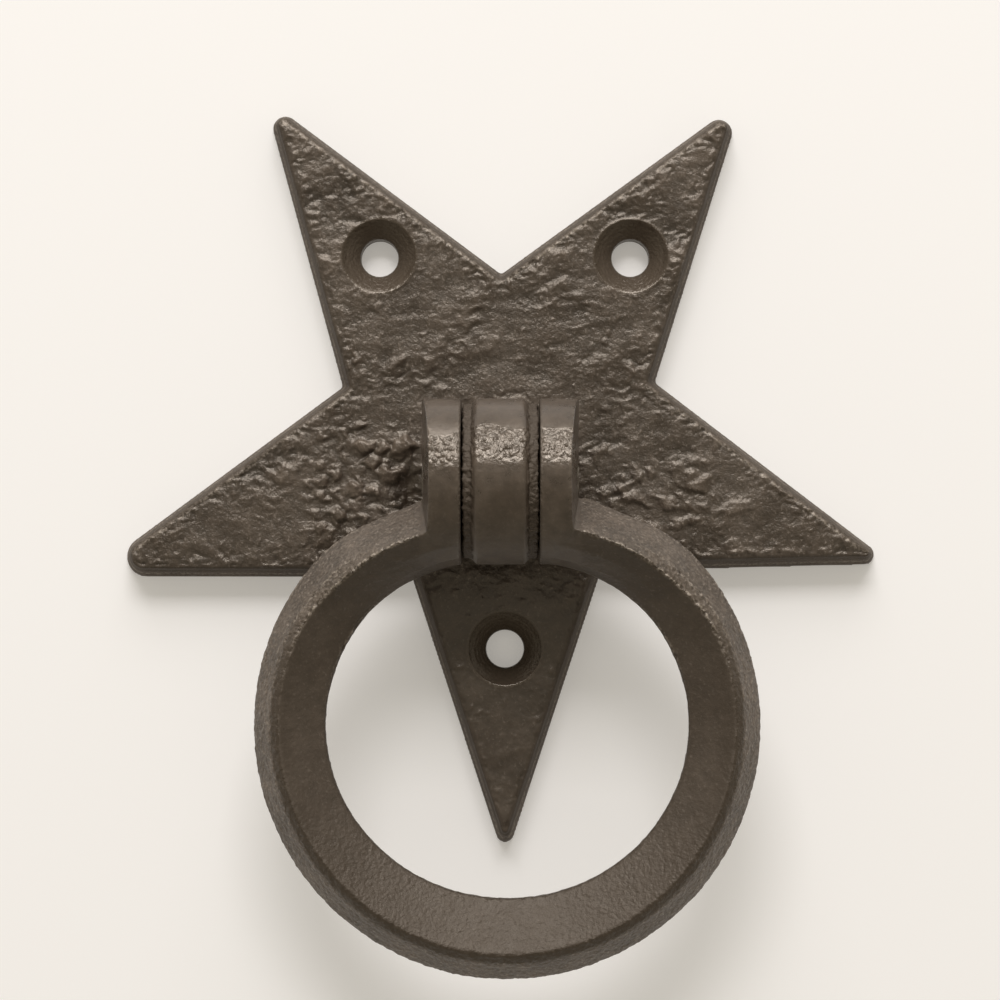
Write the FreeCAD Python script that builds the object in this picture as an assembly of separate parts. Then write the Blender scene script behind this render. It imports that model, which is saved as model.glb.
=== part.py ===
import FreeCAD, Part
import math
import os

# Ring pull handle: a cast iron star back plate with a lug, a cast iron ring with two ears, and the pin that
# they turn on. Millimetres. +X to the right, -Y out of the door towards the hand, +Z up.
# The origin is the centre of the star on its back face, which lies on the door.

# Back plate. Corners of the star's outline at its back face, clockwise as seen from the front: the angle from
# the top, the distance from the centre as a share of the star's radius, and the radius that rounds the
# corner.
PLATE_THICKNESS = 5.0
STAR_RADIUS = 57.8
NOTCH_ROUNDING = 0.6
SMALLEST_ROUNDING = 0.4
STAR_CORNERS = (
    (-35.25, 0.993, 1.75),
    (-1.3, 0.388, NOTCH_ROUNDING),
    (35.1, 0.988, 1.9),
    (69.9, 0.378, NOTCH_ROUNDING),
    (108.1, 0.963, 1.4),
    (144.4, 0.389, NOTCH_ROUNDING),
    (180.0, 1.0, 1.25),
    (213.6, 0.397, NOTCH_ROUNDING),
    (251.6, 1.043, 2.8),
    (287.3, 0.402, NOTCH_ROUNDING),
)
EDGE_DRAFT = 1.1
EDGE_BREAK = 0.4

# Screw holes: two in the upper arms, one in the lower arm, countersunk for flat-headed screws.
HOLE_CENTRES = ((-17.05, 24.3), (17.05, 24.3), (0.0, -28.8))
HOLE_RADIUS = 2.55
COUNTERSINK_RADIUS = 5.0

# How far a cutting body runs past the face that it cuts.
OVERCUT = 0.5

# How close an edge has to lie to a place to count as being there.
PICK_MARGIN = 0.01

# Hinge, shared by the lug, the ears and the pin. The pin lies along X. The casting puts the lug a little left
# of the star's centre, and the ring's eye a little right of it.
HINGE_X = -0.6
PIN_Z = -6.9
KNUCKLE_RADIUS = 10.9
PLATE_CLEARANCE = 0.8
PIN_Y = -(PLATE_THICKNESS + PLATE_CLEARANCE + KNUCKLE_RADIUS)
PIN_RADIUS = 2.4
PIN_CLEARANCE = 0.08
PIN_HALF_LENGTH = 10.25
PIN_CHAMFER = 0.3
LUG_HALF_WIDTH = 3.5
SLOT_HALF_WIDTH = 5.1

# The lug's raised band fills the middle of the slot; a lower shoulder on each side of it nearly reaches the
# ears.
SHOULDER_RADIUS = 10.1
SHOULDER_HALF_WIDTH = 4.8
LUG_ROOT_HALF_HEIGHT = 9.0
LUG_ROOT_FILLET = 0.8
LUG_ROOT_CORNER = 1.0
EAR_HALF_WIDTH = 10.35
EAR_HALF_WIDTH_AT_FACE = 9.2
RIM_CHAMFER = 0.4

# Ring, hanging below the pin. Its section is alike in front of and behind the middle plane: the edge of the
# eye, two corners of the swell, the crest, the bevel beside it and the outer edge, each a radius and a depth
# from that plane.
RING_X = 0.3
RING_DROP = 31.8
RING_Z = PIN_Z - RING_DROP
EYE_HALF_WIDTH = 23.7
EYE_HALF_HEIGHT = 22.6
EYE_EDGE_DEPTH = 0.8
OUTER_EDGE_DEPTH = 0.3

# The swell's corners stand this share of the way from the edge of the eye to the crest.
SWELL_SHARES = (0.143, 0.49)

# Angle from the top, how far the eye's edge drops inwards, swell, crest radius and depth, bevel radius and
# depth, outer radius. The section grows deeper as it rises into the ears and swells to their round; from 72
# degrees down it stays the same and the swell is gone.
RING_STATIONS = (
    (6, 1.7, 2.1, 26.4, 8.9, 27.8, 6.2, 31.3),
    (14, 1.05, 2.05, 26.5, 8.8, 27.9, 6.1, 31.3),
    (22, 0.75, 1.8, 26.8, 8.3, 28.2, 6.0, 31.35),
    (30, 0.5, 1.2, 27.3, 7.6, 28.6, 5.7, 31.6),
    (38, 0.25, 0.6, 27.8, 6.8, 29.1, 5.4, 32.35),
    (46, 0.1, 0.2, 28.2, 5.9, 29.7, 4.8, 32.9),
    (54, 0.0, 0.05, 28.8, 5.1, 30.2, 4.2, 33.05),
    (62, 0.0, 0.0, 29.4, 4.6, 30.7, 3.8, 33.1),
)
PLAIN_STATION = (0.0, 0.0, 29.6, 4.4, 30.8, 3.6, 33.1)
PLAIN_ANGLES = (72, 84, 96, 108, 120, 132, 144, 156, 168, 180)


def vec(x, y, z):
    """A point or a direction."""
    return FreeCAD.Vector(x, y, z)


def unit(a, b):
    """The direction from a to b, both across and up the plate, at length 1."""
    length = math.hypot(b[0] - a[0], b[1] - a[1])
    return ((b[0] - a[0]) / length, (b[1] - a[1]) / length)


def inset_corner(before, corner, after, inset):
    """The corner where the two edges meet once both have moved inwards. The outline runs clockwise from the
    front."""
    u = unit(before, corner)
    v = unit(corner, after)
    turn = u[0] * v[1] - u[1] * v[0]
    shift = (inset * (v[0] - u[0]) / turn, inset * (v[1] - u[1]) / turn)
    return (corner[0] - shift[0], corner[1] - shift[1])


def star_outline(y, inset):
    """Closed wire of the star at depth y, moved in by inset, with every corner rounded."""
    corners = []
    radii = []
    for degrees, share, rounding in STAR_CORNERS:
        angle = math.radians(degrees)
        corners.append((share * STAR_RADIUS * math.sin(angle), share * STAR_RADIUS * math.cos(angle)))
        radii.append(rounding if rounding == NOTCH_ROUNDING else max(rounding - inset, SMALLEST_ROUNDING))
    count = len(corners)
    moved = [inset_corner(corners[i - 1], corners[i], corners[(i + 1) % count], inset) for i in range(count)]
    arcs = []
    for i, radius in enumerate(radii):
        corner = moved[i]
        back = unit(corner, moved[i - 1])
        ahead = unit(corner, moved[(i + 1) % count])
        half = 0.5 * math.acos(back[0] * ahead[0] + back[1] * ahead[1])
        reach = radius / math.tan(half)
        middle = unit((0, 0), (back[0] + ahead[0], back[1] + ahead[1]))
        depth = radius / math.sin(half) - radius
        arcs.append([vec(corner[0] + d * w[0], y, corner[1] + d * w[1])
                     for w, d in ((back, reach), (middle, depth), (ahead, reach))])
    edges = []
    for i, (start, mid, end) in enumerate(arcs):
        edges.append(Part.Arc(start, mid, end).toShape())
        edges.append(Part.makeLine(end, arcs[(i + 1) % count][0]))
    return Part.Wire(edges)


def screw_hole(x, z):
    """The through hole and its right-angled countersink, as one cutting body."""
    through = Part.makeCylinder(HOLE_RADIUS, PLATE_THICKNESS + 2 * OVERCUT,
                                vec(x, -PLATE_THICKNESS - OVERCUT, z), vec(0, 1, 0))
    mouth = COUNTERSINK_RADIUS + OVERCUT
    cone = Part.makeCone(mouth, HOLE_RADIUS, mouth - HOLE_RADIUS,
                         vec(x, -PLATE_THICKNESS - OVERCUT, z), vec(0, 1, 0))
    return through.fuse(cone)


def along_x(radius, half_length):
    """A cylinder on the hinge axis."""
    return Part.makeCylinder(radius, 2 * half_length, vec(HINGE_X - half_length, PIN_Y, PIN_Z), vec(1, 0, 0))


def edges_where(shape, test):
    """The edges of a shape that pass a test."""
    return [edge for edge in shape.Edges if test(edge)]


def chamfered_along_x(radius, half_length, chamfer):
    """A cylinder on the hinge axis with both ends chamfered."""
    barrel = along_x(radius, half_length)
    return barrel.makeChamfer(chamfer, edges_where(barrel, lambda edge: len(edge.Vertexes) == 1))


def star_backplate():
    """The drafted plate, the lug on its filleted root, the screw holes and the pin's bore."""
    levels = ((0.0, 0.0),
              (-(PLATE_THICKNESS - EDGE_BREAK), EDGE_DRAFT),
              (-PLATE_THICKNESS, EDGE_DRAFT + EDGE_BREAK))
    plate = Part.makeLoft([star_outline(y, inset) for y, inset in levels], True, True)
    root = Part.makeBox(2 * SHOULDER_HALF_WIDTH, -PIN_Y - 0.5 * PLATE_THICKNESS, 2 * LUG_ROOT_HALF_HEIGHT,
                        vec(HINGE_X - SHOULDER_HALF_WIDTH, PIN_Y, PIN_Z - LUG_ROOT_HALF_HEIGHT))
    standing = edges_where(root, lambda edge: edge.BoundBox.YLength > PICK_MARGIN)
    body = plate.fuse(root.makeFillet(LUG_ROOT_CORNER, standing))

    def at_root(edge):
        box = edge.BoundBox
        flat = box.YLength < PICK_MARGIN and abs(box.YMin + PLATE_THICKNESS) < PICK_MARGIN
        near = abs(box.Center.z - PIN_Z) < LUG_ROOT_HALF_HEIGHT + PICK_MARGIN
        return flat and near and abs(box.Center.x - HINGE_X) < SHOULDER_HALF_WIDTH + PICK_MARGIN

    body = body.makeFillet(LUG_ROOT_FILLET, edges_where(body, at_root))
    body = body.fuse(along_x(SHOULDER_RADIUS, SHOULDER_HALF_WIDTH))
    body = body.fuse(chamfered_along_x(KNUCKLE_RADIUS, LUG_HALF_WIDTH, RIM_CHAMFER))
    for x, z in HOLE_CENTRES:
        body = body.cut(screw_hole(x, z))
    return body.cut(along_x(PIN_RADIUS + PIN_CLEARANCE, SLOT_HALF_WIDTH)).removeSplitter()


def ring_section(degrees, station):
    """The section's closed wire at an angle measured round the ring from its top."""
    drop, swell, crest, crest_depth, bevel, bevel_depth, outer = station
    angle = math.radians(degrees)
    eye = 1 / math.hypot(math.sin(angle) / EYE_HALF_WIDTH, math.cos(angle) / EYE_HALF_HEIGHT) - drop
    front = [(eye, EYE_EDGE_DEPTH)]
    for share in SWELL_SHARES:
        depth = EYE_EDGE_DEPTH + share * (crest_depth - EYE_EDGE_DEPTH) + swell
        front.append((eye + share * (crest - eye), depth))
    front += [(crest, crest_depth), (bevel, bevel_depth), (outer, OUTER_EDGE_DEPTH)]
    profile = front + [(r, -h) for r, h in reversed(front)]
    points = [vec(RING_X + r * math.sin(angle), PIN_Y - h, RING_Z + r * math.cos(angle)) for r, h in profile]
    return Part.makePolygon(points + points[:1])


def ears():
    """Both ears in one drafted barrel, before the slot parts them."""
    barrel = along_x(KNUCKLE_RADIUS, EAR_HALF_WIDTH + OVERCUT)
    reach = KNUCKLE_RADIUS + OVERCUT
    wide = EAR_HALF_WIDTH
    narrow = EAR_HALF_WIDTH - (EAR_HALF_WIDTH - EAR_HALF_WIDTH_AT_FACE) * reach / KNUCKLE_RADIUS
    z = PIN_Z - reach
    corners = ((wide, 0), (narrow, reach), (-narrow, reach), (-wide, 0), (-narrow, -reach), (narrow, -reach))
    outline = [vec(HINGE_X + x, PIN_Y + y, z) for x, y in corners]
    drafted = Part.Face(Part.makePolygon(outline + outline[:1])).extrude(vec(0, 0, 2 * reach))
    return barrel.common(drafted)


def pull_ring():
    """The hoop lofted round its eye, alike on both sides, with the ears, the slot and the pin's bore."""
    right = [(row[0], row[1:]) for row in RING_STATIONS] + [(angle, PLAIN_STATION) for angle in PLAIN_ANGLES]
    left = [(360 - angle, station) for angle, station in reversed(right[:-1])]
    hoop = Part.makeLoft([ring_section(angle, station) for angle, station in right + left], True, False)
    reach = 1.5 * KNUCKLE_RADIUS
    slot = Part.makeBox(2 * SLOT_HALF_WIDTH, 2 * reach, 2 * reach,
                        vec(HINGE_X - SLOT_HALF_WIDTH, PIN_Y - reach, PIN_Z - reach))
    body = hoop.fuse(ears()).cut(slot)
    return body.cut(along_x(PIN_RADIUS, EAR_HALF_WIDTH + OVERCUT)).removeSplitter()


def hinge_pin():
    """The plain pin, chamfered at both ends."""
    return chamfered_along_x(PIN_RADIUS, PIN_HALF_LENGTH, PIN_CHAMFER)


NODES = {"star_backplate": star_backplate, "pull_ring": pull_ring, "hinge_pin": hinge_pin}

os.makedirs("parts", exist_ok=True)
for name, build in NODES.items():
    shape = build()
    solids = shape.Solids
    print(name, "valid", shape.isValid(), "solids", len(solids), "volume", round(shape.Volume, 1))
    shape.exportStep("parts/" + name + ".step")
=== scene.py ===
import math
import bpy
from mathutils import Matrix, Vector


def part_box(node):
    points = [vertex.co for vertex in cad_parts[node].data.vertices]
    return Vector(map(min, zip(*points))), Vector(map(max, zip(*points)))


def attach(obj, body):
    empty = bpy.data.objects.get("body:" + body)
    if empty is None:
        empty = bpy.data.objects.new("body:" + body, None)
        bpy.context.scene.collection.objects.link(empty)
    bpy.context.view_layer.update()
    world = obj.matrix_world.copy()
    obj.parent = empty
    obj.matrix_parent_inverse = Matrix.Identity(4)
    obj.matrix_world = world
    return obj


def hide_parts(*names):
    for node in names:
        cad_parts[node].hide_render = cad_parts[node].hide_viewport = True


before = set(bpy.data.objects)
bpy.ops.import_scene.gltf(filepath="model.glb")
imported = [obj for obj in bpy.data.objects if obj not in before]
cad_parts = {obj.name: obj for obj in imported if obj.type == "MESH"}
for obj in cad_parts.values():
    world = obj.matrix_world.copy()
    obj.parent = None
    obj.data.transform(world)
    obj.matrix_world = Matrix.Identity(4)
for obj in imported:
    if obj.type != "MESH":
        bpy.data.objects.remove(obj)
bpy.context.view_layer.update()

from types import SimpleNamespace

import bmesh
import bpy
import numpy as np
from mathutils import Euler

# Ring pull handle in waxed black cast iron: star back plate with its lug, faceted ring with its ears, and
# hinge pin. The frame is the model's own: +X to the right, -Y out of the door towards the eye, +Z up.
# Shapes below are worked out in millimetres and go into the meshes in metres.
MM = 0.001

# The forms that the casting's skin has to know, as the model has them.
PLATE_FRONT = -5.0
HOLE_CENTRES = ((-17.05, 24.3), (17.05, 24.3), (0.0, -28.8))
COUNTERSINK_RADIUS = 5.0
HINGE_X = -0.6
PIN_Y = -16.7
PIN_Z = -6.9
PIN_RADIUS = 2.4
SLOT_HALF_WIDTH = 5.1
EAR_HALF_WIDTH = 10.35
LUG_HALF_WIDTH = 3.5
KNUCKLE_RADIUS = 10.9

STAR_RADIUS = 57.8
STAR_CORNERS = (
    (-35.25, 0.993),
    (-1.3, 0.388),
    (35.1, 0.988),
    (69.9, 0.378),
    (108.1, 0.963),
    (144.4, 0.389),
    (180.0, 1.0),
    (213.6, 0.397),
    (251.6, 1.043),
    (287.3, 0.402),
)
RING_X = 0.3
RING_Z = -38.7

# The most that the front face may rise under the ears, so that they clear it, and what it may rise more
# elsewhere.
EAR_ROOM = 0.45
LUMP_ROOM = 0.5

# The size of the even meshes in mm, the distance in m at which corners are joined, the rounds of
# smoothing that find the meshes' edges, and the most triangles of each.
PLATE_GRID = 0.21
RING_GRID = 0.20
JOIN_DISTANCE = 1e-7
CORNER_ROUNDS = 6
MOST_TRIANGLES = 190000

# Farther in mm than any point of the star lies from its rim or from a screw hole.
FAR = 99.0

# The main lumps of the face: x, z, half width, half height, rise in mm, and turn.
LEFT_LUMPS = (
    (-13.6, -1.5, 1.7, 1.5, 0.95, -0.5),
    (-15.8, -5.3, 2.1, 1.2, 0.80, -0.2),
    (-19.2, -1.4, 1.5, 1.1, 0.65, -0.3),
    (-17.8, -3.6, 1.3, 0.9, 0.60, 0.3),
    (-20.0, -7.4, 1.5, 0.9, 0.60, -0.5),
    (-22.4, -10.7, 1.3, 0.8, 0.60, -0.5),
    (-24.5, -12.8, 1.3, 0.6, 0.45, -0.5),
    (-24.6, -8.4, 1.0, 0.6, 0.40, -0.4),
    (-22.9, -5.3, 0.9, 0.6, 0.40, 0.1),
    (-17.7, -7.7, 1.3, 0.7, 0.50, -0.4),
    (-16.5, -1.9, 0.9, 1.0, 0.60, 0.8),
    (-30.0, -5.3, 2.0, 1.2, 0.25, -0.2),
)
RIGHT_LUMPS = (
    (25.4, -6.2, 2.5, 1.4, 0.50, -0.2),
    (15.6, -7.5, 1.4, 0.6, 0.40, 0.5),
    (18.0, -8.6, 2.2, 0.6, 0.35, -0.5),
    (17.2, -6.4, 1.2, 0.5, 0.30, 0.5),
    (21.8, -9.4, 1.8, 0.8, 0.35, -0.6),
    (31.5, -9.8, 2.6, 1.1, 0.25, 0.2),
    (24.8, -11.8, 1.9, 0.6, 0.35, 0.3),
    (12.9, -2.0, 1.4, 0.8, 0.30, 0.1),
)

# The hollow beside the left ear: x, z, half width and half height, and its depth, in mm.
EAR_HOLLOW = (-12.6, -8.0, 1.9, 3.3)
HOLLOW_DEPTH = 0.9

# Spacing of the rings that the countersinking cutter left, drawn coarser than they are so that they show.
CUTTER_PITCH = 0.45

# Planes round each lump.
LUMP_SIDES = 5

# Random slopes that the noise picks from, and the factors that scatter a lattice corner's place among them.
SLOPE_COUNT = 4096
SCATTER = (73856093, 19349663, 83492791)

# Cells by which each seed shifts the noise, what brings it to about -1 to 1, and the step between
# octaves' seeds.
NOISE_SHIFT = 17.3
NOISE_GAIN = 1.6
SEED_STEP = 31


# Numpy helpers


def smooth_step(low, high, value):
    """0 at low, 1 at high, and 3t^2 - 2t^3 between them, where t is the share of the way. It is level
    outside."""
    t = np.clip((value - low) / (high - low), 0.0, 1.0)
    return t * t * (3.0 - 2.0 * t)


def skin_noise(points, cell, seed):
    """Gradient noise from about -1 to 1. Each corner of a lattice, whose cells have the given size in mm,
    has a random slope. The eight slopes round a point are carried to it and blended by 6t^5 - 15t^4 + 10t^3
    along each axis."""
    slopes = np.random.default_rng(seed).normal(size=(SLOPE_COUNT, 3))
    slopes /= np.linalg.norm(slopes, axis=1)[:, None]
    place = points / np.asarray(cell, float) + NOISE_SHIFT * seed
    base = np.floor(place).astype(np.int64)
    share = place - base
    fade = share ** 3 * (share * (share * 6.0 - 15.0) + 10.0)
    total = np.zeros(len(points))
    for corner in np.ndindex(2, 2, 2):
        lattice = (base + corner) * SCATTER
        pick = lattice[:, 0] ^ lattice[:, 1] ^ lattice[:, 2]
        weight = np.prod(np.where(np.asarray(corner) == 1, fade, 1.0 - fade), axis=1)
        total += weight * np.einsum("ij,ij->i", slopes[pick % SLOPE_COUNT], share - corner)
    return NOISE_GAIN * total


def octaves(points, cell, seed, count, gain=0.55):
    """Sum of skin_noise at cell, cell/2, cell/4 and so on, each gain times as strong as the one before."""
    total = np.zeros(len(points))
    for i in range(count):
        total += gain ** i * skin_noise(points, np.asarray(cell, float) / 2.0 ** i, seed + SEED_STEP * i)
    return total


def ragged(points, cell, reach, seed):
    """The points, each moved along X, Y and Z by up to about reach mm of noise, so that what is drawn on
    them gets an uneven outline."""
    return points + reach * np.stack([octaves(points, cell, seed + i, 2) for i in range(3)], 1)


def stones(points, table, seed):
    """Height of angular lumps seen from the front. A row of the table is x, z, half width, half height,
    rise and turn. Each lump is the lowest of a tilted top and five planes that fall away from its middle,
    so that it is faceted, and the highest lump at a point counts."""
    draw = np.random.default_rng(seed)
    top = np.zeros(len(points))
    for x, z, wide, tall, rise, turn in table:
        near = np.flatnonzero(np.hypot(points[:, 0] - x, points[:, 2] - z) < 2.2 * max(wide, tall))
        dx = points[near, 0] - x
        dz = points[near, 2] - z
        along = (dx * math.cos(turn) + dz * math.sin(turn)) / wide
        across = (dz * math.cos(turn) - dx * math.sin(turn)) / tall
        tilt = draw.uniform(-0.35, 0.35, 2)
        lump = 0.85 + tilt[0] * along + tilt[1] * across
        for side in range(LUMP_SIDES):
            way = 2.0 * math.pi * (side + draw.uniform(-0.3, 0.3)) / LUMP_SIDES
            fall = draw.uniform(1.3, 2.4)
            lump = np.minimum(lump, fall * (1.0 - along * math.cos(way) - across * math.sin(way)))
        top[near] = np.maximum(top[near], rise * lump)
    return top


def scattered(seed, middle, reach, spacing, sizes, rises):
    """Rows for stones: a slanting lattice of the given spacing, each point moved by up to two fifths of it,
    kept inside an ellipse round the middle, with sizes and rises drawn between the two given."""
    draw = np.random.default_rng(seed)
    steps = np.arange(-12, 13)
    column, row = np.meshgrid(steps, steps)
    x = spacing * (column + 0.5 * row).ravel()
    z = spacing * 0.8 * row.ravel()
    x = x + draw.uniform(-0.4, 0.4, len(x)) * spacing
    z = z + draw.uniform(-0.4, 0.4, len(z)) * spacing
    kept = (x / reach[0]) ** 2 + (z / reach[1]) ** 2 < 1.0
    x = middle[0] + x[kept]
    z = middle[1] + z[kept]
    wide = draw.uniform(*sizes, len(x))
    tall = wide * draw.uniform(0.45, 0.8, len(x))
    return list(zip(x, z, wide, tall, draw.uniform(*rises, len(x)), draw.normal(-0.5, 0.45, len(x))))


# Meshes


def bake_modifiers(piece):
    """Puts the mesh that the piece's modifiers give in place of its own."""
    bpy.context.view_layer.update()
    evaluated = piece.evaluated_get(bpy.context.evaluated_depsgraph_get())
    baked = bpy.data.meshes.new_from_object(evaluated)
    piece.modifiers.clear()
    baked.name = piece.name
    piece.data = baked


def dense_copy(node, name, voxel):
    """A closed, even mesh of a node's shape: its triangles joined at their corners, then remeshed at one
    size in mm."""
    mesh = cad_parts[node].data.copy()
    merged = bmesh.new()
    merged.from_mesh(mesh)
    bmesh.ops.remove_doubles(merged, verts=merged.verts, dist=JOIN_DISTANCE)
    merged.to_mesh(mesh)
    merged.free()
    mesh.materials.clear()
    piece = bpy.data.objects.new(name, mesh)
    bpy.context.scene.collection.objects.link(piece)
    remesh = piece.modifiers.new("even", "REMESH")
    remesh.mode = "VOXEL"
    remesh.voxel_size = voxel * MM
    bake_modifiers(piece)
    return piece


def lighten(piece, most):
    """Joins the flattest neighbours until at most that many triangles are left, so that the detail keeps
    its own."""
    triangles = len(piece.data.loops) - 2 * len(piece.data.polygons)
    if triangles > most:
        fewer = piece.modifiers.new("fewer", "DECIMATE")
        fewer.ratio = most / triangles
        bake_modifiers(piece)


def read_mesh(mesh):
    """Vertices in mm, their normals, and the edges' pairs of vertices, as arrays."""
    count = len(mesh.vertices)
    points = np.empty(3 * count)
    mesh.vertices.foreach_get("co", points)
    normals = np.empty(3 * count)
    mesh.vertex_normals.foreach_get("vector", normals)
    edges = np.empty(2 * len(mesh.edges), np.int64)
    mesh.edges.foreach_get("vertices", edges)
    return points.reshape(-1, 3) / MM, normals.reshape(-1, 3), edges.reshape(-1, 2)


def neighbour_mean(values, edges):
    """Mean of the points at the vertices that share an edge with each vertex."""
    count = len(values)
    ends = np.concatenate([edges[:, 0], edges[:, 1]])
    others = np.concatenate([edges[:, 1], edges[:, 0]])
    near = np.maximum(np.bincount(ends, minlength=count), 1)
    sums = [np.bincount(ends, column[others], minlength=count) for column in values.T]
    return np.stack(sums, 1) / near[:, None]


def corner_height(points, normals, edges):
    """How far a vertex stands above the mean of what surrounds it, mm: above 0 on an edge, and below 0 in a
    corner."""
    mean = points
    for _ in range(CORNER_ROUNDS):
        mean = neighbour_mean(mean, edges)
    return np.einsum("ij,ij->i", points - mean, normals)


def write_mesh(piece, points, node, **layers):
    """Puts the points back, held inside the node's own box, and adds each layer as a value per vertex."""
    low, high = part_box(node)
    points = np.clip(points, np.asarray(low) / MM, np.asarray(high) / MM)
    mesh = piece.data
    mesh.vertices.foreach_set("co", (points * MM).ravel())
    for name, values in layers.items():
        layer = mesh.attributes.new(name, "FLOAT", "POINT")
        layer.data.foreach_set("value", values.astype(np.float32))
    mesh.update()
    lighten(piece, MOST_TRIANGLES)
    piece.data.polygons.foreach_set("use_smooth", np.ones(len(piece.data.polygons), bool))
    piece.data.update()


# Places on the model's forms


def from_hinge(points):
    """Distance from the hinge axis in mm, and the angle above the level line from the axis to the eye, in
    degrees."""
    forward = PIN_Y - points[:, 1]
    above = points[:, 2] - PIN_Z
    return np.hypot(forward, above), np.degrees(np.arctan2(above, forward))


def peened(points):
    """The hammered zone across the front of the three knuckles: 1 between two angles round the hinge axis,
    with a sharp, wavering top and a fading foot."""
    around, angle = from_hinge(points)
    left = 1.0 - smooth_step(-8.0, -4.0, points[:, 0])
    angle = angle + 5.0 * skin_noise(points, (3.5, 9.0, 9.0), 61) + 5.0 * left
    zone = smooth_step(3.0, 21.0, angle) * (1.0 - smooth_step(36.0, 38.0, angle))
    return zone * (1.0 - smooth_step(KNUCKLE_RADIUS + 0.4, KNUCKLE_RADIUS + 1.2, around))


def from_rim(points):
    """Distance from the star's outline at its back, seen from the front, mm."""
    turn = np.radians([corner[0] for corner in STAR_CORNERS])
    reach = STAR_RADIUS * np.array([corner[1] for corner in STAR_CORNERS])
    corners = np.stack([reach * np.sin(turn), reach * np.cos(turn)], 1)
    place = points[:, [0, 2]]
    nearest = np.full(len(points), FAR)
    for start, stop in zip(corners, np.roll(corners, -1, axis=0)):
        side = stop - start
        share = np.clip((place - start) @ side / (side @ side), 0.0, 1.0)
        nearest = np.minimum(nearest, np.linalg.norm(place - start - share[:, None] * side, axis=1))
    return nearest


def countersinks(points):
    """Distance in mm from the middle of the nearest screw hole, seen from the front; the lower part of its
    rim, where a highlight is painted as it catches the light; and the line just inside the rest of the
    rim, where a shadow is painted."""
    sunk = np.full(len(points), FAR)
    painted_rim_glint = np.zeros(len(points))
    painted_rim_shadow = np.zeros(len(points))
    for x, z in HOLE_CENTRES:
        away = np.hypot(points[:, 0] - x, points[:, 2] - z)
        below = smooth_step(0.2, 0.9, (z - points[:, 2]) / COUNTERSINK_RADIUS)
        # Painted highlight along the rim's lower part, and painted shadow just inside its upper part.
        painted_rim_glint = np.maximum(painted_rim_glint, below * np.exp(-((away - COUNTERSINK_RADIUS) / 0.2) ** 2))
        painted_rim_shadow = np.maximum(painted_rim_shadow, (1.0 - below) * np.exp(-((away - COUNTERSINK_RADIUS + 0.15) / 0.25) ** 2))
        sunk = np.minimum(sunk, away)
    return sunk, painted_rim_glint, painted_rim_shadow


def hollow(points):
    """The hollow beside the left ear: 1 at its middle, falling as a bell curve to nothing. It sinks the face
    and also marks where a painted shadow darkens it.
    """
    x, z, wide, tall = EAR_HOLLOW
    return np.exp(-((points[:, 0] - x) / wide) ** 2 - ((points[:, 2] - z) / tall) ** 2)


def lower_arm_calm(points):
    """How strong the face's relief is, by height: full above, and a quarter of it on the lower arm."""
    return 0.25 + 0.75 * smooth_step(-24.0, -17.0, points[:, 2])


# Back plate


def lumps(points):
    """Height of the lumps beside the left ear and of those beside the right one, mm: the main ones from the
    tables, and small ones scattered between them."""
    rough = ragged(points, (1.7, 1.7, 1.4), 0.55, 81)
    left = scattered(11, (-19.5, -6.5), (8.0, 8.6), 2.2, (0.7, 1.3), (0.1, 0.42))
    right = scattered(12, (20.0, -8.0), (9.0, 4.5), 2.4, (0.7, 1.4), (0.05, 0.3))
    return stones(rough, LEFT_LUMPS + tuple(left), 5), stones(rough, RIGHT_LUMPS + tuple(right), 6)


def slate_face(points):
    """Height of the plate's face over the model's, mm: a broad noise cut into flat steps, as slate splits,
    with finer noise on them, drawn out a little sideways and calm in places and on the lower arm; a broken
    fringe along the rim, small bits here and there, the lumps, and the hollow beside the ear. It is kept
    low where the ears turn over it."""
    loose = ragged(points, (3.0, 3.0, 2.4), 0.9, 51)
    tilted = loose @ np.array([[0.985, 0.0, -0.17], [0.0, 1.0, 0.0], [0.17, 0.0, 0.985]])
    level = 2.6 * octaves(tilted, (6.0, 8.0, 3.4), 3, 4, 0.62)
    flakes = np.floor(level) + smooth_step(0.30, 0.62, level - np.floor(level))
    slate = octaves(tilted, (2.0, 3.0, 1.2), 13, 3, 0.7)
    calm = 0.3 + 0.7 * smooth_step(-0.15, 0.40, octaves(points, (9.0, 9.0, 6.0), 71, 2))
    broad = octaves(points, (7.0, 9.0, 4.6), 5, 2)
    bits = smooth_step(0.42, 0.75, skin_noise(loose, (1.3, 1.3, 1.0), 17))
    rim = from_rim(points)
    fringe = smooth_step(1.2, 1.6, rim) * (1.0 - smooth_step(2.2, 4.0, rim))
    beads = skin_noise(loose, (0.9, 1.2, 0.8), 23)
    face = calm * (0.09 * flakes + 0.08 * slate) + 0.14 * broad + 0.20 * fringe * beads
    face = face * lower_arm_calm(points) + 0.13 * bits - 0.12

    left, right = lumps(points)
    face = face + left + right - HOLLOW_DEPTH * hollow(points)
    beside = smooth_step(10.8, 11.6, np.abs(points[:, 0] - HINGE_X))
    beyond = smooth_step(KNUCKLE_RADIUS + 0.4, KNUCKLE_RADIUS + 1.6, np.abs(points[:, 2] - PIN_Z))
    return np.minimum(face, EAR_ROOM + LUMP_ROOM * np.maximum(beside, beyond))


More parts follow.
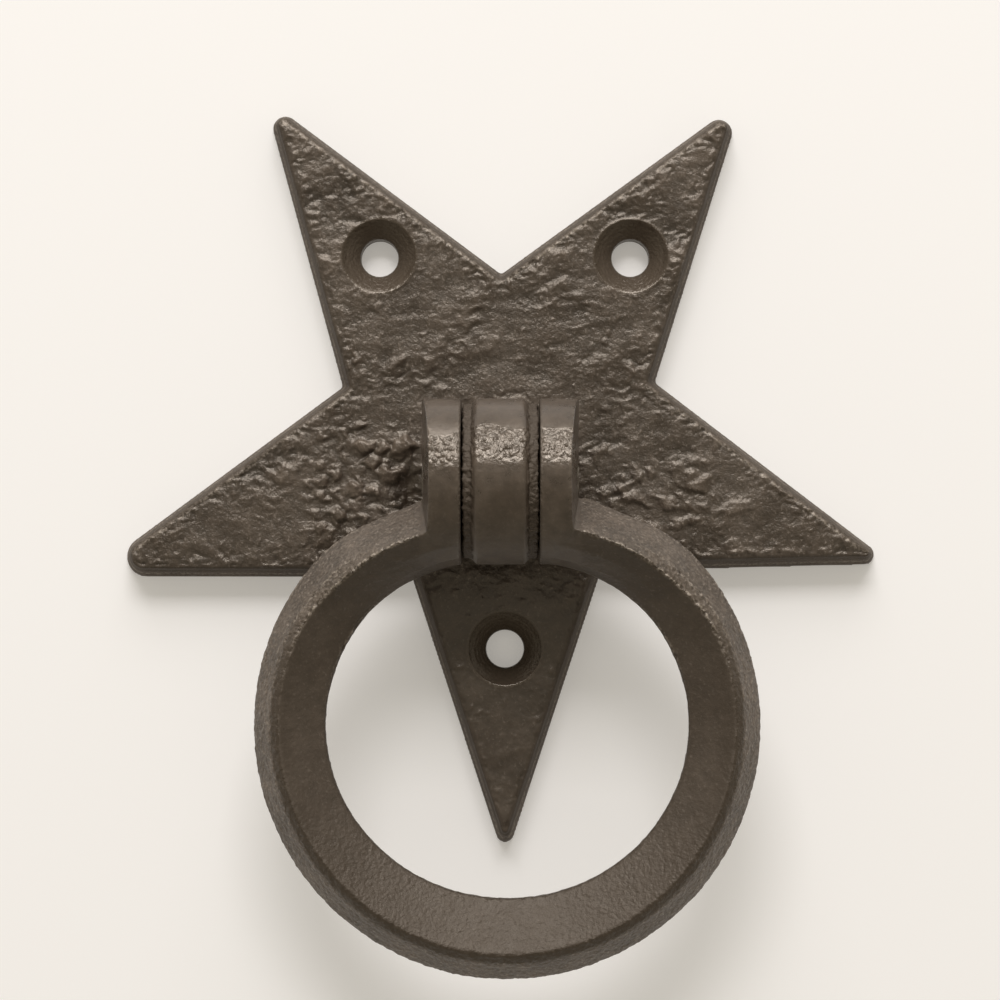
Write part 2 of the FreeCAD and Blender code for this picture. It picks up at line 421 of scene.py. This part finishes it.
def star_zones(points, normals, sunk):
    """Parts of the star, each 1 where it lies and 0 elsewhere: what the countersinks left uncut, the plate,
    its front face, its back and its sides, the lug, its low shoulders, their round, and the hammered
    band."""
    zone = SimpleNamespace()
    zone.uncut = smooth_step(COUNTERSINK_RADIUS + 0.05, COUNTERSINK_RADIUS + 0.25, sunk)
    zone.plate = smooth_step(PLATE_FRONT - 1.2, PLATE_FRONT - 0.5, points[:, 1])
    zone.face = smooth_step(0.55, 0.95, -normals[:, 1]) * zone.plate * zone.uncut
    zone.back = smooth_step(-0.9, -0.2, points[:, 1])
    zone.sides = (1.0 - zone.face) * (1.0 - zone.back) * zone.plate * zone.uncut
    zone.lug = 1.0 - zone.plate
    across = np.abs(points[:, 0] - HINGE_X)
    zone.shoulder = zone.lug * smooth_step(LUG_HALF_WIDTH - 0.1, LUG_HALF_WIDTH + 0.2, across)
    zone.round = 1.0 - smooth_step(0.4, 0.8, np.abs(normals[:, 0]))
    zone.hammered = zone.lug * (1.0 - zone.shoulder) * peened(points)
    return zone


def star_relief(points, corner, zone):
    """Height of the star's skin over the model's shape, mm: the slate-like face, lines along the sides,
    grain on the lug, strong on the hammered band and on its shoulders, and nicks out of the plate's
    edges."""
    grain = octaves(points, (0.9, 0.9, 0.8), 9, 2)
    front = np.flatnonzero(zone.face > 0.0)
    relief = np.zeros(len(points))
    relief[front] = zone.face[front] * slate_face(points[front])
    lines = 0.07 * skin_noise(points, (16.0, 0.8, 16.0), 29)
    relief += zone.sides * (lines + 0.04 * octaves(points, (2.5, 2.5, 2.5), 35, 3))
    relief += zone.lug * (1.0 - zone.shoulder) * 0.008 * grain + zone.hammered * 0.06 * grain
    crust = zone.round * 0.14 * grain + (1.0 - zone.round) * 0.19 * smooth_step(-0.5, 0.5, grain)
    relief += zone.shoulder * crust
    nicked = smooth_step(0.02, 0.10, corner) * (1.0 - zone.back) * zone.plate * zone.uncut
    relief -= nicked * 0.22 * smooth_step(0.1, 0.7, octaves(points, (1.4, 1.4, 1.4), 21, 2))
    return relief


def star_finish(points, normals, corner, zone, painted_rim_glint, painted_rim_shadow):
    """What the material asks of the star, from 0 to about 1: edges that face up and the holes' lower rims
    get painted glints, and a light line painted along the middle of the sides stands for the wall's
    reflection there; sides, back and shoulders are dull; painted shade darkens the shoulders in the
    slots, the sides next to the face, the hollow beside the ear and the line inside the holes' upper rims."""
    _, angle = from_hinge(points)
    # Painted glints: edges that face up and the holes' lower rims are lightened towards bare grey, and a
    # light line painted along the middle of the sides stands for the wall's reflection there.
    glint_and_wear = smooth_step(0.015, 0.09, corner) * smooth_step(-0.05, 0.2, normals[:, 2]) * (1.0 - zone.lug)
    side_reflection_line = zone.sides * np.exp(-((points[:, 1] + 1.9) / 0.45) ** 2)
    glint_and_wear = np.maximum.reduce([glint_and_wear, painted_rim_glint, 0.8 * side_reflection_line])
    dull = zone.lug * (0.26 * (1.0 - zone.hammered) + 0.45 * (1.0 - smooth_step(-45.0, -15.0, angle)))
    dull = np.maximum.reduce([1.3 * zone.sides, zone.shoulder, zone.back, 0.36 * zone.face, dull])
    pitted = np.maximum.reduce([zone.hammered, zone.shoulder, 0.34 * zone.plate])
    gritty = 0.08 + 0.32 * zone.plate * lower_arm_calm(points)
    gritty += 0.47 * np.maximum(0.7 * zone.hammered, zone.shoulder)
    # Painted shade: the sides darken next to the face, and the shoulders in the slots, the hollow beside the
    # ear and the line inside the holes' upper rims are darkened where shadow falls.
    near_face = smooth_step(2.2, 3.4, -points[:, 1])
    painted_side_shade = 0.8 * zone.sides * near_face
    painted_shade = np.maximum.reduce([zone.shoulder, painted_side_shade, zone.face * hollow(points), painted_rim_shadow])
    return {"edge": glint_and_wear, "machined": 1.0 - zone.uncut, "pitted": pitted, "gritty": gritty, "dull": dull,
            "painted_shade": painted_shade}


def star_plate():
    """The back plate and lug with the casting's skin. The front face is like split slate, the sides are
    dressed along their length, the countersinks are turned, and the lug's low shoulders are rough."""
    piece = dense_copy("star_backplate", "star", PLATE_GRID)
    points, normals, edges = read_mesh(piece.data)
    corner = corner_height(points, normals, edges)
    sunk, painted_rim_glint, painted_rim_shadow = countersinks(points)
    zone = star_zones(points, normals, sunk)
    relief = star_relief(points, corner, zone)
    finish = star_finish(points, normals, corner, zone, painted_rim_glint, painted_rim_shadow)
    points = points + relief[:, None] * normals
    # The height layer lightens the rises and darkens the hollows in the colour, as painted light and shade.
    write_mesh(piece, points, "star_backplate", height=relief, turning=sunk, **finish)
    return piece


# Ring


def ring_zones(points, normals, corner):
    """Parts of the ring, each 1 where it lies and 0 elsewhere: the pin's bore, the ears, their cheeks in
    the slot and the hammered band; the outer facets, the foot of the inner ones, the lower half and the
    ridge there; the outward edges, the front crest, its beaded stretch, the bevel, and the outer facet
    beside it."""
    zone = SimpleNamespace()
    around, _ = from_hinge(points)
    across = np.abs(points[:, 0] - HINGE_X)
    zone.bore = 1.0 - smooth_step(PIN_RADIUS + 0.2, PIN_RADIUS + 0.7, around)
    zone.ears = 1.0 - smooth_step(KNUCKLE_RADIUS + 0.3, KNUCKLE_RADIUS + 1.5, around)
    zone.ears = zone.ears * (1.0 - smooth_step(EAR_HALF_WIDTH - 0.1, EAR_HALF_WIDTH + 0.4, across))
    zone.cheek = zone.ears * (1.0 - smooth_step(SLOT_HALF_WIDTH + 0.1, SLOT_HALF_WIDTH + 0.35, across))
    zone.hammered = peened(points) * zone.ears * (1.0 - zone.cheek)

    spoke = points[:, [0, 2]] - (RING_X, RING_Z)
    from_middle = np.linalg.norm(spoke, axis=1)
    outward = np.einsum("ij,ij->i", spoke, normals[:, [0, 2]]) / from_middle
    from_top = np.degrees(np.arctan2(np.abs(spoke[:, 0]), spoke[:, 1]))
    zone.outside = smooth_step(0.0, 0.15, outward) * (1.0 - zone.ears)
    zone.foot = (1.0 - smooth_step(RING_Z - 22.0, RING_Z - 8.0, points[:, 2])) * (1.0 - zone.outside)
    zone.lower = smooth_step(58.0, 84.0, from_top)
    zone.ridge = smooth_step(26.5, 29.0, from_middle) * zone.lower
    zone.convex = smooth_step(0.008, 0.040, corner) * (1.0 - 0.9 * zone.ears)
    zone.crest = zone.convex * smooth_step(0.3, 0.6, -normals[:, 1])
    zone.beaded = zone.crest * (1.0 - 0.9 * zone.lower)
    zone.bevel = zone.outside * (1.0 - smooth_step(0.62, 0.74, outward)) * zone.lower
    # The outer facet beside the bevel, which gets a painted reflection.
    zone.rubbed = zone.outside * (1.0 - zone.bevel)
    return zone


def ring_relief(points, zone):
    """Height of the ring's skin over the model's shape, mm: broad waves, grain that is coarser on the outer
    facets and coarsest on the hammered band, and beads along the crest. The bore and cheeks stay plain."""
    broad = octaves(points, (6.0, 6.0, 6.0), 41, 2)
    grain = octaves(points, (0.8, 0.8, 0.8), 43, 2)
    beads = octaves(points, (0.9, 0.9, 0.9), 47, 2)
    plain = (1.0 - zone.bore) * (1.0 - zone.cheek)
    coarse = 0.012 + 0.018 * (1.0 - zone.ears) + 0.03 * zone.outside + 0.05 * zone.hammered
    relief = plain * (0.05 * broad * (1.0 - 0.6 * zone.ears) + coarse * grain - 0.03)
    rims = zone.convex - zone.crest
    relief += plain * (0.26 * zone.beaded * beads - 0.05 * zone.crest + 0.05 * rims * beads)
    return relief


def ring_finish(points, relief, zone):
    """What the material asks of the ring, from 0 to about 1: the crest's beads are lightened as wear and as
    painted glints, and the outer facet a little as a painted reflection; the ring is duller than its ears,
    and the cheeks in the slot dullest; painted shade darkens the cheeks in the slot, the inner facets and
    the bevel. A painted reflection of the pale wall makes the outer facet lighter in patches, most of all
    lower down."""
    _, angle = from_hinge(points)
    away = 1.0 - zone.ears
    # Crest beads lightened as wear and as painted glints, and the outer facet a little as a painted
    # reflection.
    glint_and_wear = np.maximum(zone.beaded * (1.0 - zone.cheek), 0.12 * zone.rubbed)
    dull = 0.26 + away * (0.50 - 0.22 * zone.outside)
    under = 1.0 - smooth_step(-45.0, -15.0, angle)
    dull += 0.4 * zone.ears * under - 0.26 * np.maximum(zone.hammered, zone.beaded)
    facets = away * (0.3 + 0.35 * zone.outside + 0.25 * zone.foot)
    pitted = np.maximum.reduce([zone.hammered, zone.cheek, facets])
    gritty = 0.08 + away * (0.17 + 0.25 * np.maximum(zone.outside, zone.foot))
    gritty += 0.47 * np.maximum(0.7 * zone.hammered, zone.cheek)
    # Painted shade: the inner facets darken, more at the foot and by the ridge, and so do the cheeks in the
    # slot and the bevel.
    inner = away * (1.0 - zone.outside) * (0.55 + 0.4 * zone.foot + 0.3 * zone.ridge)
    painted_shade = np.minimum(np.maximum.reduce([zone.cheek, inner, zone.bevel]), 1.0)
    # Painted reflection of the pale wall on the outer facet, stronger lower down and patchy; it goes into the
    # height layer, which lightens the colour.
    lighter = 0.02 + 0.16 * zone.lower + 0.14 * octaves(points, (3.0, 3.0, 3.0), 53, 2)
    return {"edge": glint_and_wear, "machined": zone.bore, "pitted": pitted, "gritty": gritty,
            "height": relief + zone.rubbed * lighter, "dull": np.maximum(zone.cheek, dull), "painted_shade": painted_shade}


def pull_ring():
    """The ring and its ears with the casting's skin, rougher on the outer facets than on the inner ones.
    The crest is beaded above and smooth further down, where painted shade darkens it."""
    piece = dense_copy("pull_ring", "ring", RING_GRID)
    points, normals, edges = read_mesh(piece.data)
    zone = ring_zones(points, normals, corner_height(points, normals, edges))
    relief = ring_relief(points, zone)
    around, _ = from_hinge(points)
    finish = ring_finish(points, relief, zone)
    points = points + relief[:, None] * normals
    write_mesh(piece, points, "pull_ring", turning=around, **finish)
    return piece


# Node helpers


def linear(hex_colour):
    """An sRGB hex colour as linear red, green, blue and a full alpha."""
    parts = [int(hex_colour[i:i + 2], 16) / 255.0 for i in (1, 3, 5)]
    return [p / 12.92 if p <= 0.04045 else ((p + 0.055) / 1.055) ** 2.4 for p in parts] + [1.0]


def per_mm(size):
    """The texture scale at which one cell of a pattern is size mm, on coordinates in metres."""
    return 1.0 / (size * MM)


def add(tree, kind, links=(), **settings):
    """Adds a node: settings are its own properties, and links pairs an input with a value or another's
    output."""
    made = tree.nodes.new(kind)
    for key, value in settings.items():
        setattr(made, key, value)
    for key, value in dict(links).items():
        if isinstance(value, bpy.types.NodeSocket):
            tree.links.new(value, made.inputs[key])
        else:
            made.inputs[key].default_value = value
    return made


def noise(tree, place, size, detail, roughness=0.5):
    """Noise from 0 to 1 whose cells are size mm."""
    return add(tree, "ShaderNodeTexNoise", {"Vector": place, "Scale": per_mm(size), "Detail": detail,
                                            "Roughness": roughness}).outputs[0]


def scale_to(tree, value, low, high, at_low=0.0, at_high=1.0):
    """A value that goes evenly from at_low to at_high while the one given goes from low to high."""
    return add(tree, "ShaderNodeMapRange", {0: value, 1: low, 2: high, 3: at_low, 4: at_high}).outputs[0]


def times(tree, value, factor):
    """One value times another."""
    return add(tree, "ShaderNodeMath", {0: value, 1: factor}, operation="MULTIPLY").outputs[0]


def times_plus(tree, value, factor, more):
    """One value times another, plus a third."""
    return add(tree, "ShaderNodeMath", {0: value, 1: factor, 2: more}, operation="MULTIPLY_ADD").outputs[0]


def brightened(tree, colour, factor):
    """A colour times a factor."""
    return add(tree, "ShaderNodeVectorMath", {0: colour, "Scale": factor}, operation="SCALE").outputs[0]


def blend(tree, share, first, second):
    """A share of the second colour in the first."""
    return add(tree, "ShaderNodeMix", {0: share, 6: first, 7: second}, data_type="RGBA").outputs[2]


def new_material(name):
    """An empty material and its tree of nodes."""
    material = bpy.data.materials.new(name)
    material.use_nodes = True
    material.node_tree.nodes.clear()
    return material, material.node_tree


# Materials

# Black iron oxide has an index of about 2.4 and the wax on it 1.45. Together they shine like one of this
# index.
OXIDE_IOR = 1.75
# The wax is brown, so that it warms the shine a little.
WAX_TINT = "#F5ECE1"

# The oxide under its wax, thick and thin; the grey painted on edges as glints and wear and on the ring's
# outer facet as a reflection; the iron on the tops of the grain and where the countersinks cut it; and the
# dark brown of the painted shade.
IRON_DARK = "#3E352D"
IRON_LIGHT = "#4F463E"
GLINT_AND_WEAR_GREY = "#8B8278"
IRON_GRAIN = "#9A9188"
IRON_TURNED = "#4E453C"
PAINTED_SHADE_BROWN = "#31271D"

# Sizes of the iron's patterns in mm: broad tone, mottle, grit, and the marks of hammer and mould.
TONE_SIZE = 7.0
MOTTLE_SIZE = 1.6
GRIT_SIZE = 0.42
MARK_SIZE = 0.62

# How high in mm the marks, the grit, the mottle and the cutter's rings stand.
MARK_HEIGHT = -0.19
GRIT_HEIGHT = 0.28
MOTTLE_HEIGHT = 0.05
CUTTER_HEIGHT = 0.003

# How far each seed shifts the patterns, m, and the values per vertex that the iron reads.
PATTERN_SHIFT = 0.013
SKIN_LAYERS = ("edge", "machined", "pitted", "gritty", "height", "dull", "painted_shade", "turning")


def iron_colour(tree, skin, tone, mottle, grit, glint_and_wear_strength):
    """Dark and light oxide by broad tone, then lighter or darker by mottle and by grit, and by height as
    painted light on the rises and painted shade in the hollows; over it the painted glints, wear and
    reflections, the bare tops of the grain, the turned countersinks and the painted shade, each by its own
    layer."""
    patch = add(tree, "ShaderNodeValToRGB", {0: tone})
    patch.color_ramp.elements[0].position = 0.38
    patch.color_ramp.elements[0].color = linear(IRON_DARK)
    patch.color_ramp.elements[1].position = 0.64
    patch.color_ramp.elements[1].color = linear(IRON_LIGHT)
    colour = brightened(tree, patch.outputs[0], scale_to(tree, mottle, 0.3, 0.7, 0.72, 1.28))
    # Painted light and shade: the height layer lightens rises and darkens hollows.
    colour = brightened(tree, colour, scale_to(tree, skin["height"], -0.4, 0.3, 0.5, 1.36))
    sandy = times_plus(tree, scale_to(tree, grit, 0.3, 0.7, -0.5, 0.5), skin["gritty"], 1.0)
    colour = brightened(tree, colour, sandy)

    # Painted glints and wear on edges, and a painted reflection on the ring's outer facet, in light grey.
    rubbed = times(tree, skin["edge"], scale_to(tree, grit, 0.45, 0.56))
    colour = blend(tree, times(tree, rubbed, glint_and_wear_strength), colour, linear(GLINT_AND_WEAR_GREY))
    speck = times(tree, scale_to(tree, grit, 0.60, 0.72), skin["gritty"])
    colour = blend(tree, speck, colour, linear(IRON_GRAIN))
    colour = blend(tree, skin["machined"], colour, linear(IRON_TURNED))
    # Painted shade in dark brown.
    return blend(tree, times(tree, skin["painted_shade"], 0.8), colour, linear(PAINTED_SHADE_BROWN))


def iron_height(tree, skin, place, mottle, grit):
    """Height in mm: a faint skin everywhere, grit where it is gritty, round marks that grow with the square
    of how pitted it is, and the cutter's rings in the countersinks."""
    pattern = {"Vector": place, "Scale": per_mm(MARK_SIZE), "Smoothness": 0.35}
    marks = add(tree, "ShaderNodeTexVoronoi", pattern, feature="SMOOTH_F1").outputs["Distance"]
    rounded = times(tree, times(tree, marks, skin["pitted"]), MARK_HEIGHT)
    rounded = times(tree, rounded, skin["pitted"])
    height = times_plus(tree, times(tree, grit, skin["gritty"]), GRIT_HEIGHT, rounded)
    height = times_plus(tree, mottle, MOTTLE_HEIGHT, height)
    phase = times(tree, skin["turning"], 2.0 * math.pi / CUTTER_PITCH)
    rings = add(tree, "ShaderNodeMath", {0: phase}, operation="SINE").outputs[0]
    return times_plus(tree, times(tree, rings, skin["machined"]), CUTTER_HEIGHT, height)


def waxed_cast_iron(name, seed, glint_and_wear_strength):
    """Sand-cast iron, blackened and finished with dark wax: a brown-black skin with a low, broken shine,
    greyer on the tops of the grain, with glints and wear painted grey on edges, and painted shade that
    makes it nearly black in the hollows, the slots and on the inner facets."""
    material, tree = new_material(name)
    place = add(tree, "ShaderNodeTexCoord").outputs["Object"]
    shift = (PATTERN_SHIFT * seed, 0.0, 0.0)
    place = add(tree, "ShaderNodeMapping", {"Vector": place, "Location": shift}).outputs[0]
    skin = {}
    for layer in SKIN_LAYERS:
        skin[layer] = add(tree, "ShaderNodeAttribute", attribute_name=layer).outputs["Fac"]
    tone = noise(tree, place, TONE_SIZE, 4)
    mottle = noise(tree, place, MOTTLE_SIZE, 5, 0.62)
    grit = noise(tree, place, GRIT_SIZE, 3, 0.6)

    colour = iron_colour(tree, skin, tone, mottle, grit, glint_and_wear_strength)
    gloss = times_plus(tree, skin["dull"], 0.5, scale_to(tree, mottle, 0.3, 0.7, 0.13, 0.21))
    height = iron_height(tree, skin, place, mottle, grit)
    normal = add(tree, "ShaderNodeBump", {"Height": height, "Strength": 1.0, "Distance": MM}).outputs[0]
    shader = add(tree, "ShaderNodeBsdfPrincipled", {
        "Base Color": colour, "Roughness": gloss, "Normal": normal, "Metallic": 0.0, "IOR": OXIDE_IOR,
        "Specular Tint": linear(WAX_TINT)})
    add(tree, "ShaderNodeOutputMaterial", {"Surface": shader.outputs[0]})
    return material


def drawn_steel():
    """Cold-drawn steel wire, darkened with the rest: a dull grey metal with fine lines along the wire."""
    material, tree = new_material("darkened_drawn_steel")
    place = add(tree, "ShaderNodeTexCoord").outputs["Object"]
    along = add(tree, "ShaderNodeMapping", {"Vector": place, "Scale": (0.06, 1.0, 1.0)}).outputs[0]
    lines = noise(tree, along, 0.3, 3)
    blotch = noise(tree, place, 2.0, 4)
    colour = blend(tree, scale_to(tree, blotch, 0.35, 0.65), linear("#4A4239"), linear("#7E776D"))
    gloss = scale_to(tree, lines, 0.3, 0.7, 0.35, 0.55)
    normal = add(tree, "ShaderNodeBump", {"Height": lines, "Strength": 0.3, "Distance": 0.05 * MM}).outputs[0]
    shader = add(tree, "ShaderNodeBsdfPrincipled", {
        "Base Color": colour, "Roughness": gloss, "Normal": normal, "Metallic": 0.8})
    add(tree, "ShaderNodeOutputMaterial", {"Surface": shader.outputs[0]})
    return material


# The wall's paint, how it looks to the eye with the light on it, and how much of that look is its own.
WALL_PAINT = "#FBFCFF"
WALL_SEEN = "#FAF5ED"
WALL_OWN_SHARE = 0.28


def painted_wall():
    """Pale matt paint, partly of its own brightness where the eye or a gloss sees it, so that its shadows
    stay pale. From behind it is clear, so that the back plate's rear face can be seen."""
    material, tree = new_material("pale_wall_paint")
    matt = add(tree, "ShaderNodeBsdfPrincipled", {"Base Color": linear(WALL_PAINT), "Roughness": 0.9,
                                                  "Specular IOR Level": 0.0})
    pale = add(tree, "ShaderNodeEmission", {"Color": linear(WALL_SEEN), "Strength": 1.0})
    path = add(tree, "ShaderNodeLightPath")
    looked = add(tree, "ShaderNodeMath", {0: path.outputs["Is Camera Ray"], 1: path.outputs["Is Glossy Ray"]},
                 operation="MAXIMUM").outputs[0]
    looked = times(tree, looked, WALL_OWN_SHARE)
    paint = add(tree, "ShaderNodeMixShader", {0: looked, 1: matt.outputs[0], 2: pale.outputs[0]})
    clear = add(tree, "ShaderNodeBsdfTransparent")
    behind = add(tree, "ShaderNodeNewGeometry").outputs["Backfacing"]
    both = add(tree, "ShaderNodeMixShader", {0: behind, 1: paint.outputs[0], 2: clear.outputs[0]})
    add(tree, "ShaderNodeOutputMaterial", {"Surface": both.outputs[0]})
    return material


# Pieces

iron_plate = waxed_cast_iron("waxed_cast_iron_plate", 1, 0.8)
iron_ring = waxed_cast_iron("waxed_cast_iron_ring", 2, 1.0)

star = star_plate()
star.data.materials.append(iron_plate)
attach(star, "backplate")
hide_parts("star_backplate")

ring = pull_ring()
ring.data.materials.append(iron_ring)
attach(ring, "ring")
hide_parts("pull_ring")

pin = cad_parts["hinge_pin"]
pin.data.materials.clear()
pin.data.materials.append(drawn_steel())

# Wall, light and camera

# The wall stands this far behind the back plate, and reaches this far each way, in metres.
WALL_GAP = 0.15 * MM
WALL_HALF = 1.5
wall_corners = [(x * WALL_HALF, WALL_GAP, z * WALL_HALF) for x, z in ((-1, -1), (1, -1), (1, 1), (-1, 1))]
wall_mesh = bpy.data.meshes.new("wall")
wall_mesh.from_pydata(wall_corners, [], [(0, 1, 2, 3)])
wall = bpy.data.objects.new("wall", wall_mesh)
bpy.context.scene.collection.objects.link(wall)
wall_mesh.materials.append(painted_wall())


# What the lights aim at, in metres, and their colour.
MIDDLE = (0.0, -0.010, -0.010)
LAMP_COLOUR = "#FFFAF6"


def soft_light(name, elevation, azimuth, distance, wide, tall, radiance):
    """A soft box: its middle stands at that elevation and azimuth from the aim, in front of the wall, and
    faces it. A panel of area A that shines evenly with the given radiance gives pi times A times radiance
    watts."""
    lamp = bpy.data.lights.new(name, "AREA")
    lamp.shape = "RECTANGLE"
    lamp.size = wide
    lamp.size_y = tall
    lamp.energy = math.pi * wide * tall * radiance
    lamp.color = linear(LAMP_COLOUR)[:3]
    holder = bpy.data.objects.new(name, lamp)
    up = math.radians(elevation)
    side = math.radians(azimuth)
    holder.location = (MIDDLE[0] + distance * math.cos(up) * math.sin(side),
                       MIDDLE[1] - distance * math.cos(up) * math.cos(side),
                       MIDDLE[2] + distance * math.sin(up))
    holder.rotation_euler = Euler((math.radians(90.0) - up, 0.0, side), "XYZ")
    bpy.context.scene.collection.objects.link(holder)


soft_light("key_soft_box", elevation=45.0, azimuth=-3.0, distance=1.2, wide=0.66, tall=0.36, radiance=11.8)
soft_light("top_panel", elevation=65.0, azimuth=0.0, distance=1.1, wide=0.9, tall=0.40, radiance=3.4)

# The room's own light, from below and from above.
ROOM_BELOW = "#9C9586"
ROOM_ABOVE = "#C1BAAD"


def studio():
    """The room round the handle: a dim, warm grey that is lighter above, and pale where the eye looks past
    the wall."""
    world = bpy.data.worlds.new("studio")
    bpy.context.scene.world = world
    world.use_nodes = True
    sky = world.node_tree
    sky.nodes.clear()
    direction = add(sky, "ShaderNodeTexCoord").outputs["Generated"]
    upward = add(sky, "ShaderNodeSeparateXYZ", {0: direction}).outputs["Z"]
    room = blend(sky, scale_to(sky, upward, -0.3, 0.6), linear(ROOM_BELOW), linear(ROOM_ABOVE))
    dim = add(sky, "ShaderNodeBackground", {"Color": room, "Strength": 1.0})
    pale = add(sky, "ShaderNodeBackground", {"Color": linear(WALL_SEEN), "Strength": 1.0})
    seen = add(sky, "ShaderNodeLightPath").outputs["Is Camera Ray"]
    shown = add(sky, "ShaderNodeMixShader", {0: seen, 1: dim.outputs[0], 2: pale.outputs[0]})
    add(sky, "ShaderNodeOutputWorld", {"Surface": shown.outputs[0]})


studio()

# The camera's place in mm, how far it tilts up and turns left in degrees, and its lens and sensor in mm.
CAMERA_PLACE = (0.1826, -429.06, -29.069)
CAMERA_TILT = 2.739
CAMERA_TURN = 0.1147
LENS = 113.337
SENSOR_WIDTH = 36.0

camera_data = bpy.data.cameras.new("camera")
camera_data.sensor_width = SENSOR_WIDTH
camera_data.lens = LENS
camera = bpy.data.objects.new("camera", camera_data)
camera.location = [place * MM for place in CAMERA_PLACE]
camera.rotation_euler = Euler((math.radians(90.0 + CAMERA_TILT), 0.0, math.radians(CAMERA_TURN)), "XYZ")
bpy.context.scene.collection.objects.link(camera)
bpy.context.scene.camera = camera
bpy.context.scene.view_settings.view_transform = "Standard"
